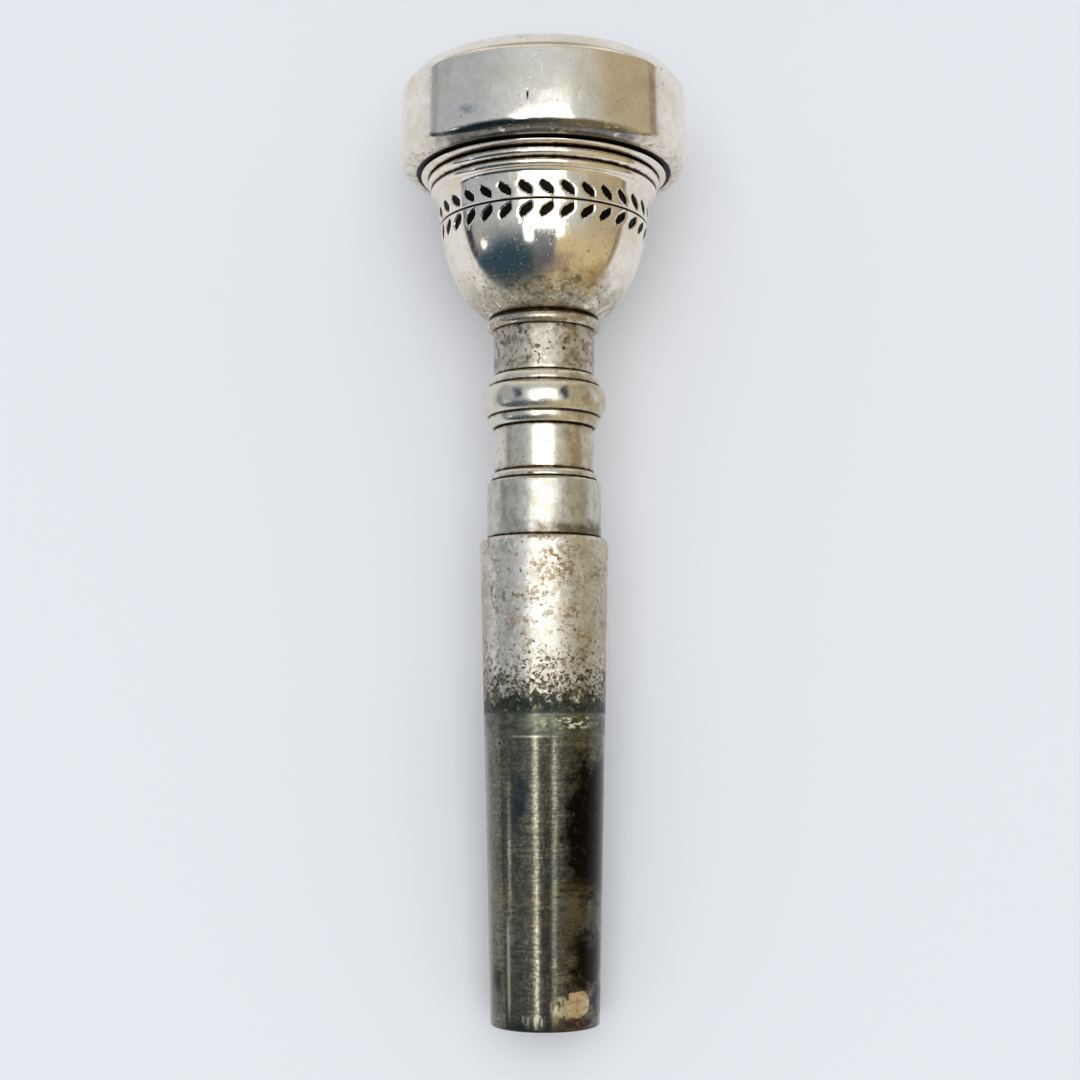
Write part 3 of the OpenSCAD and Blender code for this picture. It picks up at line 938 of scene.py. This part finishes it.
def small_end_layers(finish):
    """The worn small end: bare bright patches, a rust spot and a dark edge."""
    bright = finish.stain_or_painted_light((0.2, 1.6), (-30.0, 4.0), edge=0.6, ragged=2.4)
    finish.patches(bright, [((2.6, 0.5, 2.6), 0.46, 0.6, 47.0, 3.0, 0.7, "C6BFA4", 0.38)])
    thin = finish.stain_or_painted_light((0.9, 3.2), (4.0, 34.0), edge=0.4, ragged=1.4)
    finish.patches(thin, [((2.4, 0.8, 2.4), 0.42, 0.52, 48.0, 3.0, 0.8, "CDBF9C", 0.32)])
    bare = finish.stain_or_painted_light((1.1, 3.4), (22.0, 51.0), edge=0.1, ragged=0.7)
    finish.lay(bare, tone("D9C9A9"), 0.36, coat=0.0)
    finish.patches(bare, [((1.4, 2.2, 1.4), 0.46, 0.58, 43.0, 3.0, 0.6, "A5926E", 0.34)])
    finish.stains_or_painted_light([
        ((0.8, 4.0), (52.0, 95.0), 0.3, 1.2, 1.0, "1E1B18", 0.3),
        ((0.5, 1.7), (5.0, 17.0), 0.8, 1.2, 0.8, "8D8352", 0.4),
    ])
    rust = finish.stain_or_painted_light((0.1, 1.15), (10.0, 60.0), edge=0.4, ragged=1.4)
    finish.lay(rust, tone("32211A"), 0.5, metal=0.5, coat=0.0)
    orange = finish.both(rust, finish.mottled(2.2, 0.52, 0.64, shift=31.0), 0.7)
    finish.lay(orange, RUST, 0.7, metal=0.1)
    lip = finish.belt(-1.0, 0.16, 0.08)
    finish.lay(finish.both(lip, 0.8), tone("2E2A22"), 0.5)


def shank_finish():
    """Satin plating above, and the dark, worn taper that sits in the instrument."""
    finish = Finish("shank_silver", SATIN_SILVER, 0.25)
    age_of_silver(finish, 0.0007, 0.6)
    neck_layers(finish)
    upper_taper_layers(finish)
    lower_taper_layers(finish)
    small_end_layers(finish)
    dirt_in_hollows(finish, 0.12, 0.45)
    bare_inside(finish, YELLOWED_SILVER, 0.4)
    return finish.done()


# ---------------------------------------------------------------- making the pieces

LAUREL = leaf_band_tree()
LATHE = turned_piece_tree(LAUREL)

rim = turned("rim_turned", rim_outline(), LATHE, rim_finish(), 320)
cup = turned(
    "cup_turned", cup_outline(), LATHE, cup_finish(), 384,
    **{"Leaf Pairs": BAND_PAIRS, "Band Line": BAND_LINE * MM, "Band Reach": BAND_REACH * MM,
       "Leaf Depth": 0.15 * MM},
)
shank = turned("shank_turned", shank_outline(), LATHE, shank_finish(), 256)

for piece, node in ((rim, "rim"), (cup, "cup"), (shank, "shank")):
    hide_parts(node)
    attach(piece, node)

# ---------------------------------------------------------------- sheet, lights and camera

VIEW_LENS = 58.33
VIEW_PLACE = (-0.34 * MM, 25.92 * MM, 159.81 * MM)
VIEW_TILT = 0.10896


def plain_material(name, colour, roughness):
    """A plain material for what the object lies on."""
    material = bpy.data.materials.new(name)
    material.use_nodes = True
    shader = material.node_tree.nodes["Principled BSDF"]
    shader.inputs["Base Color"].default_value = colour
    shader.inputs["Roughness"].default_value = roughness
    shader.inputs["Specular IOR Level"].default_value = 0.2
    return material


def glow_material(name, colour, strength):
    """A plain light-giving material for the cards seen only in reflections."""
    material = bpy.data.materials.new(name)
    material.use_nodes = True
    wire = Wiring(material.node_tree)
    wire.tree.nodes.clear()
    glow = wire.node("ShaderNodeEmission", {"Color": colour, "Strength": strength})
    wire.node("ShaderNodeOutputMaterial", {"Surface": glow.outputs[0]})
    return material


def flat_card(name, corners, material, reflections_only):
    """A flat four-cornered piece of the stage."""
    mesh = bpy.data.meshes.new(name)
    mesh.from_pydata(corners, [], [(0, 1, 2, 3)])
    mesh.materials.append(material)
    card = bpy.data.objects.new(name, mesh)
    bpy.context.scene.collection.objects.link(card)
    if reflections_only:
        card.visible_camera = False
        card.visible_diffuse = False
        card.visible_shadow = False
        card.visible_transmission = False
    return card


def floor_height(y):
    """The sheet touches the shank's small end and the rim, so it falls away towards the rim."""
    touch = (RIM_JOINT + 1.3) * MM
    return -END_R * MM + (END_R - RIM_R) * MM * y / touch


def lay_sheet():
    """The pale sheet, and beyond its edges the darker room that the metal mirrors."""
    far, edge, past_cup, lift = 3.0, 0.145, RIM_JOINT * 1.5 * MM, 0.0015
    ends = [(-far, -far), (far, -far), (far, far), (-far, far)]
    corners = [(x, y, floor_height(y)) for x, y in ends]
    flat_card("sheet", corners, plain_material("pale_sheet", SHEET_WHITE, 0.85), False)
    rooms = (
        ("left_room", -edge, -far, -far, past_cup, tone("465266")),
        ("far_left_room", -edge, -far, past_cup, far, tone("97A0B0")),
        ("right_room", edge, far, -far, far, tone("8F7F60")),
    )
    for name, near_x, far_x, low_y, high_y, colour in rooms:
        ends = [(near_x, low_y), (far_x, low_y), (far_x, high_y), (near_x, high_y)]
        corners = [(x, y, floor_height(y) + lift) for x, y in ends]
        flat_card(name, corners, glow_material(name, colour, 1.0), True)
    hang_cards()


def hang_cards():
    """What else the bright metal mirrors: a board over the shank, a tube, and things to the left."""
    board, tube, window, edge = 0.165, 0.499, -0.36, -0.1449
    cards = {
        "grey_board": (tone("6E747E"), 1.0, [(-0.036, -0.1, board), (0.042, -0.1, board),
                                             (0.042, 0.03, board), (-0.036, 0.03, board)]),
        "bright_tube": (tone("FFFFFF"), 9.0, [(-0.148, -0.13, tube), (-0.12, -0.13, tube),
                                               (-0.15, 0.05, tube), (-0.178, 0.05, tube)]),
        "side_window": (tone("FFFFFF"), 5.0, [(window, -0.035, 0.085), (window, -0.012, 0.085),
                                              (window, -0.012, 0.12), (window, -0.035, 0.12)]),
        "dark_step": (tone("241F30"), 1.0, [(edge, 0.029, -0.02), (edge, 0.08, -0.02),
                                            (edge, 0.08, 0.014), (edge, 0.029, 0.014)]),
    }
    for name, (colour, strength, corners) in cards.items():
        flat_card(name, corners, glow_material(name, colour, strength), True)


def light_room():
    """The soft even light of the room, and what the bright metal mirrors of it."""
    world = bpy.data.worlds.new("room")
    bpy.context.scene.world = world
    world.use_nodes = True
    wire = Wiring(world.node_tree)
    wire.tree.nodes.clear()
    toward = wire.node("ShaderNodeSeparateXYZ", {0: wire.node("ShaderNodeTexCoord").outputs["Generated"]})
    x, y, z = toward.outputs
    colour = wire.colour_mix(wire.rise(x, -0.25, 0.55), tone("B2BAC8"), tone("B8AD92"))
    toward_maker = wire.colour_mix(wire.rise(x, -0.3, 0.35), tone("2C4656"), tone("CDBD98"))
    for direction, low, high, next_colour in (
        (z, 0.52, 0.92, tone("CDD5DC")),
        (y, -0.06, -0.4, toward_maker),
        (y, -0.75, -0.97, tone("BDB7A6")),
        (y, 0.6, 0.75, tone("F2EEE6")),
        (y, 0.88, 0.96, tone("B3ADA0")),
    ):
        colour = wire.colour_mix(wire.rise(direction, low, high), colour, next_colour)
    mirrored = wire.node("ShaderNodeBackground", {"Color": colour, "Strength": 1.0})
    even = wire.node("ShaderNodeBackground", {"Color": tone("F4F6FA"), "Strength": 0.7})
    beyond = wire.node("ShaderNodeBackground", {"Color": SHEET_WHITE, "Strength": 0.66})
    ray = wire.node("ShaderNodeLightPath").outputs
    lit = wire.node("ShaderNodeMixShader",
                    {0: ray["Is Glossy Ray"], 1: even.outputs[0], 2: mirrored.outputs[0]})
    seen = wire.node("ShaderNodeMixShader",
                     {0: ray["Is Camera Ray"], 1: lit.outputs[0], 2: beyond.outputs[0]})
    wire.node("ShaderNodeOutputWorld", {"Surface": seen.outputs[0]})


def hang_lamp():
    """One soft square lamp over the work, a little to the left."""
    data = bpy.data.lights.new("lamp", "AREA")
    data.shape = "RECTANGLE"
    data.size, data.size_y = 0.42, 0.37
    data.energy = 1.15
    lamp = bpy.data.objects.new("lamp", data)
    lamp.location = (-0.01, 0.058, 0.5)
    lamp.rotation_euler = (0.0, 0.0, math.radians(5))
    bpy.context.scene.collection.objects.link(lamp)


def set_camera():
    """Looks down on the mouthpiece from over the shank."""
    data = bpy.data.cameras.new("camera")
    data.lens, data.sensor_width = VIEW_LENS, 36.0
    data.clip_start, data.clip_end = 0.005, 50.0
    camera = bpy.data.objects.new("camera", data)
    camera.location = VIEW_PLACE
    camera.rotation_euler = (VIEW_TILT, 0.0005, -0.0016)
    bpy.context.scene.collection.objects.link(camera)
    bpy.context.scene.camera = camera


lay_sheet()
light_room()
hang_lamp()
set_camera()
bpy.context.scene.view_settings.view_transform = "Standard"
